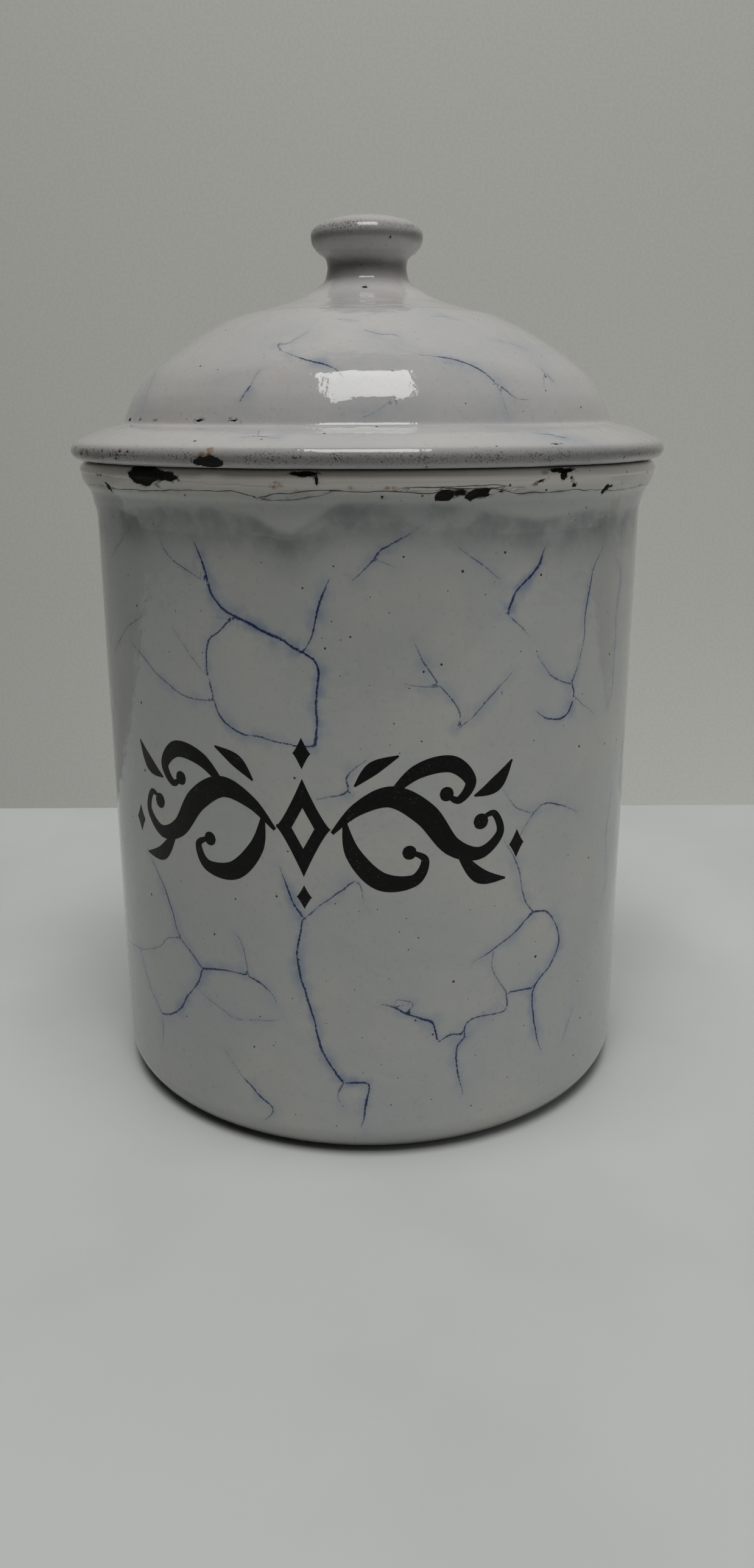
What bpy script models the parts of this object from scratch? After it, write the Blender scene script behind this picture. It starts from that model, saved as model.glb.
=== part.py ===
"""A lidded storage canister of enamelled sheet steel, 159 mm tall and 108 mm across.

Units are metres and +Z is up. The origin is at the centre of the base, on the plane it stands on.
The canister is a rolled wall with a pressed base and a wired hem at its mouth. The lid is one pressed
sheet with a wired edge, a collar that drops into the mouth, and a two-piece spool knob on a rivet.
Heights of the lid's pieces are measured from the lid_seat empty, which stands at the mouth's top.
"""

import math

import bmesh
import bpy

# Driving dimensions of the canister
BODY_RADIUS = 0.0500  # outside of the wall
MOUTH_HEIGHT = 0.1175  # top of the hem
SHEET = 0.0008  # steel with its enamel on both faces
BASE_CORNER = 0.0055  # outside radius where base and wall meet
BASE_FLANGE = 0.0070  # height of the base's upturned edge
FOOT_RING_INNER = 0.0390  # the flat ring that the canister stands on starts here
BASE_RECESS = 0.0010  # how far the panel inside the ring is pressed up
HEM_RADIUS = 0.0017  # outside radius of the roll at the mouth
HEM_DEPTH = 0.00465  # from the mouth's top down to the hem's raw edge

# Driving dimensions of the lid
LID_RADIUS = 0.05385  # outside of the rolled edge
LID_ROLL = 0.00165  # outside radius of the rolled edge
LID_FLANGE_ANGLE = 63.0  # degrees: where the flange leaves the roll
DOME_FOOT_RADIUS = 0.0452  # where the dome rises from the flange
KNOB_SEAT_RADIUS = 0.0187  # flat pressed seat under the knob
KNOB_SEAT_HEIGHT = 0.0245
COLLAR_RADIUS = 0.0480  # 1.2 mm of play in the mouth
COLLAR_DEPTH = 0.0110  # how far it reaches below the mouth's top
KNOB_FOOT_RADIUS = 0.0183
KNOB_NECK_RADIUS = 0.0071
KNOB_RADIUS = 0.0100
KNOB_SPLIT_HEIGHT = 0.0355  # where the cap meets the neck's flange
KNOB_TOP_HEIGHT = 0.0412

RIVET_RADIUS = 0.0020
WASHER_RADIUS = 0.0065
GAP = 0.0003  # left between pieces that touch

SEGMENTS = 40  # facets round the large pieces
SMALL_SEGMENTS = 20  # facets round the knob, the rivet and its washer
WIRE_SIDES = 6

CANISTER_ENAMEL = (0.66, 0.66, 0.68)
LID_ENAMEL = (0.72, 0.70, 0.71)
INNER_ENAMEL = (0.74, 0.74, 0.73)
BARE_STEEL = (0.23, 0.21, 0.20)


# Outlines are lists of (radius, height) points


def arc(centre, radius, start, end, steps):
    """Points along an arc, with angles in degrees from the +radius direction."""
    points = []
    for step in range(steps + 1):
        angle = math.radians(start + (end - start) * step / steps)
        points.append((centre[0] + radius * math.cos(angle), centre[1] + radius * math.sin(angle)))
    return points


def smooth(knots, steps):
    """A Catmull-Rom curve through the knots, with this many steps between two of them."""
    points = []
    last = len(knots) - 1
    for i in range(last):
        before, start = knots[max(i - 1, 0)], knots[i]
        end, after = knots[i + 1], knots[min(i + 2, last)]
        for step in range(steps):
            t = step / steps
            point = []
            for a, b, c, d in zip(before, start, end, after):
                bend = (2 * a - 5 * b + 4 * c - d) * t * t + (3 * b - a - 3 * c + d) * t * t * t
                point.append(0.5 * (2 * b + (c - a) * t + bend))
            points.append(tuple(point))
    return points + [knots[-1]]


def offset(path, distance):
    """The path moved sideways to the right of its direction by this distance."""
    moved = []
    for i, (radius, height) in enumerate(path):
        normals = []
        for a, b in ((i - 1, i), (i, i + 1)):
            if 0 <= a and b < len(path):
                along_r, along_z = path[b][0] - path[a][0], path[b][1] - path[a][1]
                length = math.hypot(along_r, along_z)
                normals.append((along_z / length, -along_r / length))
        normal_r = sum(n[0] for n in normals) / len(normals)
        normal_z = sum(n[1] for n in normals) / len(normals)
        mitre = distance / (normal_r**2 + normal_z**2)
        moved.append((radius + normal_r * mitre, height + normal_z * mitre))
    return moved


def sheet(path, thickness=SHEET):
    """The closed outline of a sheet whose one face is the path and whose other lies to its right."""
    return path + offset(path, thickness)[::-1]


# Building the pieces


def enamel_or_steel(name, colour, roughness, metallic=0.0):
    material = bpy.data.materials.new(name + "_finish")
    material.use_nodes = True
    shader = material.node_tree.nodes["Principled BSDF"]
    shader.inputs["Base Color"].default_value = (*colour, 1.0)
    shader.inputs["Roughness"].default_value = roughness
    shader.inputs["Metallic"].default_value = metallic
    return material


def turned(name, outline, material, parent=None, segments=SEGMENTS):
    """Turns a closed outline about the Z axis. An outline that starts and ends on the axis closes there."""
    on_axis = outline[0][0] == 0.0 and outline[-1][0] == 0.0
    shape = bmesh.new()
    corners = [shape.verts.new((radius, 0.0, height)) for radius, height in outline]
    pairs = list(zip(corners, corners[1:]))
    if not on_axis:
        pairs.append((corners[-1], corners[0]))
    edges = [shape.edges.new(pair) for pair in pairs]
    bmesh.ops.spin(
        shape,
        geom=corners + edges,
        cent=(0.0, 0.0, 0.0),
        axis=(0.0, 0.0, 1.0),
        angle=2 * math.pi,
        steps=segments,
        use_merge=True,
    )
    bmesh.ops.remove_doubles(shape, verts=shape.verts, dist=1e-6)
    bmesh.ops.recalc_face_normals(shape, faces=shape.faces)
    mesh = bpy.data.meshes.new(name)
    shape.to_mesh(mesh)
    shape.free()
    mesh.shade_smooth()
    mesh.set_sharp_from_angle(angle=math.radians(40))
    mesh.materials.append(material)
    piece = bpy.data.objects.new(name, mesh)
    bpy.context.collection.objects.link(piece)
    piece.parent = parent
    return piece


def body_wall():
    """The rolled wall. At the mouth it turns outward over the wire and down into a tapered hem."""
    inner = BODY_RADIUS - SHEET
    roll = (inner + HEM_RADIUS, MOUTH_HEIGHT - HEM_RADIUS)
    hem_edge = MOUTH_HEIGHT - HEM_DEPTH
    curl = arc(roll, HEM_RADIUS, 180, -20, 7)
    curl += [
        (BODY_RADIUS + 0.00225, hem_edge + 0.00170),
        (BODY_RADIUS + 0.00175, hem_edge + 0.00085),
        (BODY_RADIUS + 0.00105, hem_edge),
    ]
    foot = BASE_FLANGE + GAP
    under_hem = [
        (BODY_RADIUS, hem_edge - 0.00535),
        (BODY_RADIUS + 0.00025, hem_edge - 0.00230),
        (BODY_RADIUS + 0.00060, hem_edge - 0.00075),
        (BODY_RADIUS, hem_edge - 0.00035),
    ]
    outline = [(inner, foot)] + curl + offset(curl, SHEET)[::-1] + under_hem[::-1]
    outline.append((BODY_RADIUS, foot))
    turned("body_wall", outline, enamel_or_steel("body_wall", CANISTER_ENAMEL, 0.18))


def base_plate():
    """The pressed base: a recessed panel, the flat ring it stands on, and an upturned rounded edge."""
    corner = (BODY_RADIUS - BASE_CORNER, BASE_CORNER)
    path = [(0.0, BASE_RECESS), (FOOT_RING_INNER - 0.0015, BASE_RECESS), (FOOT_RING_INNER, 0.0)]
    path += arc(corner, BASE_CORNER, -90, 0, 4)
    path.append((BODY_RADIUS, BASE_FLANGE))
    outline = sheet(path[::-1])[::-1]
    turned("base_plate", outline, enamel_or_steel("base_plate", CANISTER_ENAMEL, 0.2))


def wire_ring(name, centre, radius, parent=None):
    outline = arc(centre, radius, 0, 360 - 360 / WIRE_SIDES, WIRE_SIDES - 1)
    turned(name, outline, enamel_or_steel(name, BARE_STEEL, 0.5, 0.9), parent)


def mouth_wire():
    """The wire that stiffens the canister's hem."""
    centre = (BODY_RADIUS - SHEET + HEM_RADIUS, MOUTH_HEIGHT - HEM_RADIUS)
    wire_ring("mouth_wire", centre, HEM_RADIUS - SHEET - GAP)


def lid_roll_centre():
    return (LID_RADIUS - LID_ROLL, LID_ROLL + 0.0001)


def lid_edge_wire(parent):
    """The wire inside the lid's rolled edge."""
    wire_ring("lid_edge_wire", lid_roll_centre(), LID_ROLL - SHEET - GAP, parent)


def lid_shell(parent):
    """The lid's one pressed sheet: knob seat, dome, sloping flange and rolled edge."""
    dome = smooth(
        [
            (0.0199, 0.0251),
            (0.0258, 0.0232),
            (0.0325, 0.0197),
            (0.0385, 0.0155),
            (0.0421, 0.0113),
            (0.0439, 0.0074),
            (DOME_FOOT_RADIUS, 0.0059),
        ],
        2,
    )
    seat = [(RIVET_RADIUS + GAP, KNOB_SEAT_HEIGHT), (KNOB_SEAT_RADIUS, KNOB_SEAT_HEIGHT)]
    flange = [(0.0484, 0.0052), (0.0505, 0.0044)]
    roll = arc(lid_roll_centre(), LID_ROLL, LID_FLANGE_ANGLE, -225, 9)
    outline = sheet(seat + dome + flange + roll)
    turned("lid_shell", outline, enamel_or_steel("lid_shell", LID_ENAMEL, 0.15), parent)


def lid_collar(parent):
    """The band under the lid that keeps it centred in the mouth, with the flange that fixes it."""
    path = [
        (COLLAR_RADIUS + 0.0018, 0.0025),
        (COLLAR_RADIUS + 0.0006, 0.0029),
        (COLLAR_RADIUS, 0.0022),
        (COLLAR_RADIUS, -COLLAR_DEPTH),
    ]
    material = enamel_or_steel("lid_collar", INNER_ENAMEL, 0.2)
    turned("lid_collar", sheet(path), material, parent)


def knob_neck(parent):
    """The knob's lower half: a flared foot, a waist and a flat top that the rivet's head bears on."""
    foot = KNOB_SEAT_HEIGHT + GAP
    outside = [(KNOB_FOOT_RADIUS, foot)] + smooth(
        [
            (KNOB_FOOT_RADIUS, foot + 0.0005),
            (0.0147, 0.0265),
            (0.0103, 0.0284),
            (0.0078, 0.0306),
            (KNOB_NECK_RADIUS, 0.0328),
            (0.0087, 0.0350),
        ],
        2,
    )
    outside.append((0.0092, KNOB_SPLIT_HEIGHT))
    floor = KNOB_SPLIT_HEIGHT - SHEET
    inside = [
        (RIVET_RADIUS + GAP, KNOB_SPLIT_HEIGHT),
        (RIVET_RADIUS + GAP, floor),
        (KNOB_NECK_RADIUS - SHEET, floor),
        (KNOB_NECK_RADIUS - SHEET, 0.0318),
        (0.0077, 0.0288),
        (0.0115, 0.0264),
        (0.0160, foot),
    ]
    material = enamel_or_steel("knob_neck", LID_ENAMEL, 0.2)
    turned("knob_neck", outside + inside, material, parent, SMALL_SEGMENTS)


def knob_cap(parent):
    """The knob's upper half: a shallow crowned cup turned over at its edge."""
    edge = KNOB_SPLIT_HEIGHT + GAP
    outside = smooth(
        [
            (0.0, KNOB_TOP_HEIGHT),
            (0.0045, KNOB_TOP_HEIGHT - 0.0004),
            (0.0078, KNOB_TOP_HEIGHT - 0.0013),
            (0.0095, KNOB_TOP_HEIGHT - 0.0024),
            (KNOB_RADIUS, KNOB_TOP_HEIGHT - 0.0036),
            (0.0093, edge),
        ],
        2,
    )
    outline = sheet(outside)
    outline[-1] = (0.0, KNOB_TOP_HEIGHT - SHEET)
    material = enamel_or_steel("knob_cap", LID_ENAMEL, 0.2)
    turned("knob_cap", outline, material, parent, SMALL_SEGMENTS)


def knob_rivet(parent):
    """The rivet from the knob's flat top down through the lid, peened under the washer."""
    head = KNOB_SPLIT_HEIGHT + GAP
    tail = KNOB_SEAT_HEIGHT - 2 * SHEET - 2 * GAP
    outline = [
        (0.0, head + 0.0016),
        (0.0026, head + 0.0013),
        (0.0038, head),
        (RIVET_RADIUS, head),
        (RIVET_RADIUS, tail),
        (0.0038, tail),
        (0.0028, tail - 0.0013),
        (0.0, tail - 0.0017),
    ]
    material = enamel_or_steel("knob_rivet", INNER_ENAMEL, 0.3)
    turned("knob_rivet", outline, material, parent, SMALL_SEGMENTS)


def rivet_washer(parent):
    """The washer that spreads the rivet's load under the lid."""
    top = KNOB_SEAT_HEIGHT - SHEET - GAP
    bore = RIVET_RADIUS + GAP
    outline = [
        (WASHER_RADIUS, top),
        (WASHER_RADIUS, top - SHEET),
        (bore, top - SHEET),
        (bore, top),
    ]
    material = enamel_or_steel("rivet_washer", INNER_ENAMEL, 0.3)
    turned("rivet_washer", outline, material, parent, SMALL_SEGMENTS)


def main():
    for old in list(bpy.data.objects):
        bpy.data.objects.remove(old, do_unlink=True)
    body_wall()
    base_plate()
    mouth_wire()
    seat = bpy.data.objects.new("lid_seat", None)
    seat.location = (0.0, 0.0, MOUTH_HEIGHT)
    bpy.context.collection.objects.link(seat)
    for piece in (
        lid_edge_wire,
        lid_shell,
        lid_collar,
        knob_neck,
        knob_cap,
        knob_rivet,
        rivet_washer,
    ):
        piece(seat)
    bpy.context.view_layer.update()


main()
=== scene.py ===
"""The looks of a lidded enamel canister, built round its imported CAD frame.

Outlines are lists of (radius, height) in millimetres, marks on the enamel are placed by degrees round
the axis (0 is the front, -Y, and positive turns towards +X) and millimetres up, and MM turns both into
the frame's metres.
"""

import math
from collections import Counter

import bpy
import numpy as np
from mathutils import Matrix, Vector, kdtree, noise


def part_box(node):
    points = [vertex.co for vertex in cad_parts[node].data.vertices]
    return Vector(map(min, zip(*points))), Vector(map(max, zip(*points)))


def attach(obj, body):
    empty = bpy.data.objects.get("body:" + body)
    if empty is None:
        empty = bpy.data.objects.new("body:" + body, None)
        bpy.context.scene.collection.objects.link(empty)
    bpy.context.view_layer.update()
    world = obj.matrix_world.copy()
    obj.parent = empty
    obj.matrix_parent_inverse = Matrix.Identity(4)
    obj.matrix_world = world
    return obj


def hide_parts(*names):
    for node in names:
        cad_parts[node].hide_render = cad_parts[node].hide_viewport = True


MM = 0.001

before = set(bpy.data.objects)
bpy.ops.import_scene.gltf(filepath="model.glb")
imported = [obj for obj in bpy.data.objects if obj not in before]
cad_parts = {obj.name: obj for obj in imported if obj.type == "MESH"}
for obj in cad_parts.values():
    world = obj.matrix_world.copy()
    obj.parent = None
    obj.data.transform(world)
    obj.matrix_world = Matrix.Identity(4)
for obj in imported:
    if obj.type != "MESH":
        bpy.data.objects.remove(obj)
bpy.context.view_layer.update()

# Driving sizes in millimetres: those read from the frame, then those that follow its solids
WALL_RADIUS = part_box("base_plate")[1].x / MM
MOUTH_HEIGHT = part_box("body_wall")[1].z / MM
LID_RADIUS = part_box("lid_shell")[1].x / MM
KNOB_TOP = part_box("knob_cap")[1].z / MM
COLLAR_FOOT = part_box("lid_collar")[0].z / MM
WASHER_LOW, WASHER_HIGH = (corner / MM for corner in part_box("rivet_washer"))
RIVET_LOW, RIVET_HIGH = (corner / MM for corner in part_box("knob_rivet"))
SHEET = 0.8
BASE_CORNER = 5.5
BASE_RECESS = 1.0
FOOT_RING = 39.0
BASE_PANEL = 37.5
HEM_RADIUS = 1.7
LID_ROLL = 1.65
COLLAR_RADIUS = 48.0
RIVET_HOLE = 2.3
KNOB_SEAT_RADIUS = 19.3
KNOB_SEAT_HEIGHT = 24.5

# Facets round the large enamelled surfaces, the knob, the collar, and the rivet and its washer
TURNS, KNOB_TURNS, COLLAR_TURNS, RIVET_TURNS = 480, 192, 256, 96
FAR = 20.0  # the distance given to points that no mark is near


# Outlines


def arc(centre, radius, start, end, step):
    """Points along an arc, with angles in degrees and about `step` millimetres between them."""
    count = max(2, round(abs(math.radians(end - start)) * radius / step))
    points = []
    for i in range(count + 1):
        angle = math.radians(start + (end - start) * i / count)
        points.append((centre[0] + radius * math.cos(angle), centre[1] + radius * math.sin(angle)))
    return points


def smooth(knots, step):
    """A Catmull-Rom curve through knots of any dimension, with points about `step` apart."""
    knots = [np.array(knot, float) for knot in knots]
    last = len(knots) - 1
    points = []
    for i in range(last):
        before, start = knots[max(i - 1, 0)], knots[i]
        end, after = knots[i + 1], knots[min(i + 2, last)]
        count = max(1, round(float(np.linalg.norm(end - start)) / step))
        for t in np.arange(count) / count:
            bend = (2 * before - 5 * start + 4 * end - after) * t**2
            bend += (3 * start - before - 3 * end + after) * t**3
            points.append(tuple(0.5 * (2 * start + (end - before) * t + bend)))
    return points + [tuple(knots[-1])]


def straight(start, end, step):
    """Points along a straight line, about `step` apart."""
    count = max(1, round(math.dist(start, end) / step))
    return [
        (start[0] + (end[0] - start[0]) * i / count, start[1] + (end[1] - start[1]) * i / count)
        for i in range(count + 1)
    ]


def joined(*paths):
    """One path out of several, without the points that two of them share."""
    points = []
    for path in paths:
        for point in path:
            if not points or math.dist(point, points[-1]) > 0.01:
                points.append(tuple(point))
    return points


def raised(path, height):
    """The path moved up."""
    return [(radius, z + height) for radius, z in path]


def directions(path):
    """The unit direction of a path at each of its points."""
    along = np.gradient(path, axis=0)
    return along / np.linalg.norm(along, axis=1)[:, None]


def offset(path, distance):
    """The path moved sideways to the right of its direction."""
    path = np.array(path)
    along = directions(path)
    moved = path + distance * np.stack([along[:, 1], -along[:, 0]], axis=1)
    return [tuple(point) for point in moved]


# Turned meshes


def around(degrees, radius, height):
    """The point at an angle round the axis."""
    angle = math.radians(degrees)
    return (radius * math.sin(angle), -radius * math.cos(angle), height)


def new_piece(name, points, faces, material):
    """An object of one material, linked into the scene. The points are in metres."""
    mesh = bpy.data.meshes.new(name)
    mesh.from_pydata(points, [], faces)
    mesh.materials.append(material)
    piece = bpy.data.objects.new(name, mesh)
    bpy.context.collection.objects.link(piece)
    return piece


class Turned:
    """A mesh turned about Z from an outline, in millimetres until it is made into an object.

    The outline runs with the material on its left, and its points on the axis become poles. The arrays
    row, angle, radius, height, out, normal and points have an entry for each vertex, and first has each
    outline point's first vertex and how many it has.
    """

    def __init__(self, outline, turns):
        self.outline = np.array(outline)
        self.turns = turns
        row_of = []
        angle_of = []
        self.first = []
        for row, (radius, _) in enumerate(self.outline):
            count = 1 if radius < 1e-6 else turns
            self.first.append((len(row_of), count))
            row_of += [row] * count
            angle_of += [2 * math.pi * i / turns for i in range(count)]
        self.row = np.array(row_of)
        self.angle = np.array(angle_of)
        self.radius, self.height = self.outline[self.row].T
        self.out = np.stack([np.sin(self.angle), -np.cos(self.angle), 0 * self.angle], axis=1)
        tangent = directions(self.outline)[self.row]
        up = np.array([0.0, 0.0, 1.0])
        self.normal = tangent[:, 1:] * self.out - tangent[:, :1] * up
        self.points = self.radius[:, None] * self.out + self.height[:, None] * up

    def push(self, amount):
        """Moves every point along its own normal."""
        self.points = self.points + self.normal * np.asarray(amount)[:, None]

    def faces(self, closed):
        """Quads between neighbouring outline points, and triangles round the poles."""
        pairs = list(zip(self.first, self.first[1:]))
        if closed:
            pairs.append((self.first[-1], self.first[0]))
        found = []
        for (low, low_count), (high, high_count) in pairs:
            for i in range(self.turns):
                j = (i + 1) % self.turns
                if low_count == 1:
                    found.append((low, high + j, high + i))
                elif high_count == 1:
                    found.append((low + i, low + j, high))
                else:
                    found.append((low + i, low + j, high + j, high + i))
        return found

    def make(self, name, material, attributes=(), closed=False):
        """The smooth-shaded object, with an attribute for each named array of values."""
        piece = new_piece(name, (self.points * MM).tolist(), self.faces(closed), material)
        piece.data.shade_smooth()
        for key, values in dict(attributes).items():
            values = np.asarray(values, np.float32)
            kind, field = ("FLOAT_VECTOR", "vector") if values.ndim == 2 else ("FLOAT", "value")
            layer = piece.data.attributes.new(key, kind, "POINT")
            layer.data.foreach_set(field, values.ravel())
        return piece


def ripple(points, size, seed):
    """Smooth noise from -1 to 1 at each point, with hills about `size` millimetres apart."""
    shift = Vector((seed * 17.3, seed * 5.1, seed * 9.7))
    return np.array([noise.noise(Vector(point) / size + shift) for point in points])


def ramp(values, low, high):
    """0 below low, 1 above high and smooth between them."""
    t = np.clip((values - low) / (high - low), 0.0, 1.0)
    return t * t * (3 - 2 * t)


# Marks in the enamel: veins and cracks are lines on a surface, chips are patches


def on_lid(degrees, radius):
    """The point on the lid's upper face at a radius."""
    return around(degrees, radius, float(np.interp(radius, LID_TOP[:, 0], LID_TOP[:, 1])))


def drawn(lines, place, wobble, seed):
    """Wobbly 3-D samples of lines on a surface: points, which line each is on, and its ink from 0 to 1.

    A line is its ink and then its knots, and it fades at an end that no other line shares. The wobble is
    pairs of a size and a reach. Within a run it depends on the place alone, so lines that share a knot
    stay joined. It isn't the same in every run, because the vector noise is seeded from the clock.
    """
    knot_step, sample_step = 0.4, 0.3
    faint, fade_length = 0.3, 5.0
    uses = Counter(knot for _, *knots in lines for knot in knots)
    points, owner, ink = [], [], []
    for number, (strength, *knots) in enumerate(lines):
        at = np.array([place(*knot) for knot in smooth(knots, knot_step)])
        steps = np.linalg.norm(np.diff(at, axis=0), axis=1)
        run = np.concatenate([[0.0], np.cumsum(steps)])
        evenly = np.linspace(0.0, run[-1], max(3, int(run[-1] / sample_step)))
        at = np.stack([np.interp(evenly, run, at[:, k]) for k in range(3)], axis=1)
        fade = np.ones(len(evenly))
        for knot, away in ((knots[0], evenly), (knots[-1], run[-1] - evenly)):
            if uses[knot] == 1:
                fade = np.minimum(fade, faint + (1 - faint) * np.clip(away / fade_length, 0.0, 1.0))
        breaks = 0.9 + 0.35 * ripple(at, 6.0, seed)
        points.append(at)
        owner += [number] * len(at)
        ink.append(np.clip(strength * fade * breaks, 0.0, 1.0))
    points = np.concatenate(points)
    for size, reach in wobble:
        shift = [noise.noise_vector(Vector(point) / size + Vector((seed, 0, 0))) for point in points]
        points = points + reach * np.array(shift)
    return points, np.array(owner), np.concatenate(ink)


def nearest(shape, wanted, lines):
    """For each wanted point, the offset along the surface to the nearest line, its length and the ink."""
    points = shape.points
    samples, owner, ink = lines
    tree = kdtree.KDTree(len(samples))
    for i, sample in enumerate(samples):
        tree.insert(sample, i)
    tree.balance()
    away = np.zeros((len(points), 3))
    away[:, 0] = FAR
    strength = np.zeros(len(points))
    chosen = np.flatnonzero(wanted)
    index = np.array([tree.find(point)[1] for point in points[chosen]])
    best = samples[index] - points[chosen]
    best_length = np.linalg.norm(best, axis=1)
    for step in (-1, 1):
        other = np.clip(index + step, 0, len(samples) - 1)
        same = owner[other] == owner[index]
        side = samples[other] - samples[index]
        length = np.maximum((side**2).sum(axis=1), 1e-9)
        t = np.clip(((points[chosen] - samples[index]) * side).sum(axis=1) / length, 0.0, 1.0)
        reach = samples[index] + t[:, None] * side - points[chosen]
        reach_length = np.linalg.norm(reach, axis=1)
        better = same & (reach_length < best_length)
        best[better] = reach[better]
        best_length[better] = reach_length[better]
    normal = shape.normal[chosen]
    away[chosen] = best - (best * normal).sum(axis=1)[:, None] * normal
    strength[chosen] = ink[index]
    return away, np.linalg.norm(away, axis=1), strength


def chip_distance(shape, wanted, chips):
    """The signed distance along the surface to the nearest chip's edge, negative inside the chip.

    A chip is its degrees, radius and height, half its width and half its height along the surface,
    its tilt in degrees and how ragged it is.
    """
    distance = np.full(len(shape.points), FAR)
    chosen = np.flatnonzero(wanted)
    degrees_of = np.degrees(shape.angle[chosen])
    outline = shape.outline
    steps = np.linalg.norm(np.diff(outline, axis=0), axis=1)
    run = np.concatenate([[0.0], np.cumsum(steps)])
    wanted_rows = np.unique(shape.row[chosen])
    for number, (degrees, radius, height, half_width, half_height, tilt, ragged) in enumerate(chips):
        apart = np.hypot(outline[wanted_rows, 0] - radius, outline[wanted_rows, 1] - height)
        row = wanted_rows[np.argmin(apart)]
        turned = (degrees_of - degrees + 180.0) % 360.0 - 180.0
        across = np.radians(turned) * radius
        up = run[shape.row[chosen]] - run[row]
        margin = 2 * half_width + 2
        near = np.flatnonzero((np.abs(across) < margin) & (np.abs(up) < margin))
        if not len(near):
            continue
        turn = math.radians(tilt)
        a = (across[near] * math.cos(turn) + up[near] * math.sin(turn)) / half_width
        b = (up[near] * math.cos(turn) - across[near] * math.sin(turn)) / half_height
        size = min(half_width, half_height)
        points = shape.points[chosen[near]]
        coarse = ripple(points, 0.9 * max(size, 0.6), 31 + number)
        fine = ripple(points, 0.4 * max(size, 0.6), 67 + number)
        edge = 1 + ragged * (coarse + 0.6 * fine)
        value = (np.hypot(a, b) - edge) * size
        distance[chosen[near]] = np.minimum(distance[chosen[near]], value)
    return distance


# Material nodes


class Nodes:
    """Short names for the shader nodes that the materials are built from."""

    def __init__(self, name):
        self.material = bpy.data.materials.new(name)
        self.material.use_nodes = True
        self.tree = self.material.node_tree
        self.shader = self.tree.nodes["Principled BSDF"]
        place = self.tree.nodes.new("ShaderNodeTexCoord").outputs["Object"]
        self.place = self.vector("MULTIPLY", place, (1 / MM, 1 / MM, 1 / MM))

    def put(self, value, socket):
        """Links another node's output to a socket, or sets the socket to a number or a colour."""
        if isinstance(value, bpy.types.NodeSocket):
            self.tree.links.new(value, socket)
        elif isinstance(value, tuple) and len(value) == 3 and socket.type == "RGBA":
            socket.default_value = (*value, 1.0)
        else:
            socket.default_value = value

    def node(self, kind, inputs):
        """A new node, with some of its sockets linked or set."""
        node = self.tree.nodes.new("ShaderNode" + kind)
        for name, value in inputs.items():
            self.put(value, node.inputs[name])
        return node

    def math(self, operation, *values, kind="Math"):
        node = self.node(kind, dict(enumerate(values)))
        node.operation = operation
        return node.outputs["Vector" if kind == "VectorMath" and operation != "LENGTH" else "Value"]

    def vector(self, operation, *values):
        return self.math(operation, *values, kind="VectorMath")

    def attribute(self, name, output="Fac"):
        node = self.node("Attribute", {})
        node.attribute_name = name
        return node.outputs[output]

    def noise(self, size, detail=2.0, roughness=0.5, stretch=None):
        """Noise about 0.5 whose hills are about `size` millimetres apart."""
        place = self.vector("MULTIPLY", self.place, stretch) if stretch else self.place
        inputs = {"Vector": place, "Scale": 1 / size, "Detail": detail, "Roughness": roughness}
        return self.node("TexNoise", inputs).outputs[0]

    def cells(self, size, output="Distance"):
        """Voronoi cells about `size` millimetres across."""
        return self.node("TexVoronoi", {"Vector": self.place, "Scale": 1 / size}).outputs[output]

    def map(self, value, low, high, to_low=0.0, to_high=1.0, smoothly=True):
        """The value carried from the range low to high to another one, and held at its ends."""
        ends = {"From Min": low, "From Max": high, "To Min": to_low, "To Max": to_high}
        node = self.node("MapRange", {"Value": value, **ends})
        node.interpolation_type = "SMOOTHSTEP" if smoothly else "LINEAR"
        return node.outputs["Result"]

    def mix(self, amount, first, second):
        # The sockets of a colour mix, which is one node for several kinds of value
        node = self.node("Mix", {0: amount, 6: first, 7: second})
        node.data_type = "RGBA"
        return node.outputs[2]

    def times(self, *values):
        result = values[0]
        for value in values[1:]:
            result = self.math("MULTIPLY", result, value)
        return result

    def height_of(self):
        """The height in millimetres."""
        return self.node("SeparateXYZ", {0: self.place}).outputs["Z"]

    def specks(self, size, share, radius):
        """Tiny round dots, one in each chosen cell. Share is how many of the cells have one."""
        colour = self.node("SeparateColor", {0: self.cells(size, "Color")})
        chosen = self.math("LESS_THAN", colour.outputs[0], share)
        reach = self.map(colour.outputs[1], 0.0, 1.0, radius * 0.4 / size, radius / size, False)
        dot = self.math("LESS_THAN", self.cells(size), reach)
        return self.times(chosen, dot)

    def bump(self, height, distance, strength=1.0):
        node = self.node("Bump", {"Height": height, "Distance": distance * MM, "Strength": strength})
        self.put(node.outputs["Normal"], self.shader.inputs["Normal"])

    def set(self, **values):
        """Sets or links the shader's own sockets."""
        for name, value in values.items():
            self.put(value, self.shader.inputs[name.replace("_", " ")])


# Linear colours: bare metal, the vein and what surrounds it, dirt, and painted shade and painted light in
# the white
IRON = (0.006, 0.0055, 0.005)
OXIDE = (0.040, 0.022, 0.014)
RUST = (0.26, 0.13, 0.035)
VEIN = (0.021, 0.035, 0.118)
HALO = (0.255, 0.30, 0.40)
CLOUD = (0.425, 0.455, 0.480)
BROWN = (0.13, 0.10, 0.085)
# Dark specks, and the painted shade of the grey bands
SOOT_AND_SHADE = (0.034, 0.027, 0.021)
SPECK = (0.03, 0.028, 0.035)
CRACK = (0.014, 0.012, 0.010)
# Painted shade below the canister's hem
UNDER_HEM_SHADE_COLOUR = (0.20, 0.215, 0.225)
# Painted light on the canister's hem
HEM_PAINTED_LIGHT = (0.66, 0.63, 0.59)


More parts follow.
